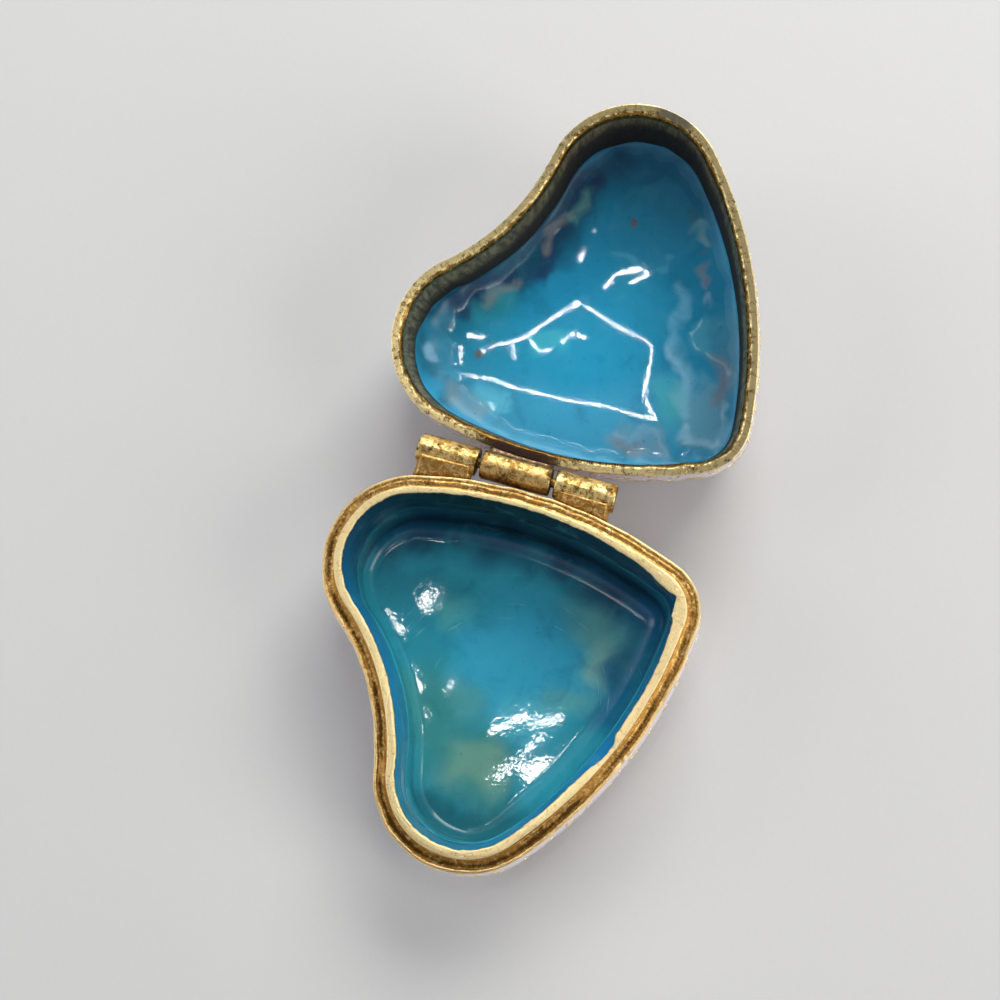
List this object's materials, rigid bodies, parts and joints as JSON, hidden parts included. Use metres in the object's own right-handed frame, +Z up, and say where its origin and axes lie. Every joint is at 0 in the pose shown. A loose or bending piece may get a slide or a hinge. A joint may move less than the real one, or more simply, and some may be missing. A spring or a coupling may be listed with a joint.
{
  "type": "cloisonne enamel box",
  "caption": "Small heart-shaped hinged box of gilt brass and enamel, hollow and empty, standing open to show its glossy blue lining.",
  "frame": {"origin": "middle of the base's flat underside, on the surface it stands on", "axes": "+Z up, +X along the hinge pin from the left knuckle to the right one, +Y from the base towards the opened lid"},
  "size_m": [0.0387, 0.0796, 0.0202],
  "materials": {
    "gilt": "worn gilt with brown tarnish in the hollows",
    "worn_gilt": "light filed gilt, satin",
    "pitted_gilt": "gilt with black pits and dark solder",
    "dark_brass": "dark tarnished wire",
    "teal_enamel": "glossy, cloudy teal enamel",
    "blue_enamel": "glossy, streaked blue enamel",
    "pale_enamel": "glossy pale enamel with gilt wires"
  },
  "bodies": {
    "base": {"base_body": "gilt", "base_enamel": "pale_enamel", "base_lip": "worn_gilt", "base_lining": "teal_enamel", "knuckle_left": "pitted_gilt", "knuckle_right": "pitted_gilt", "hinge_pin": "dark_brass"},
    "lid": {"lid_body": "gilt", "lid_enamel": "pale_enamel", "lid_lining": "blue_enamel", "lid_knuckle": "pitted_gilt"}
  },
  "joints": [
    {"name": "lid_hinge", "type": "hinge", "parent": "base", "child": "lid", "pos_m": [-0.0056, 0.0163, 0.0107], "axis": [1, 0, 0], "range_deg": [0, 165]}
  ]
}
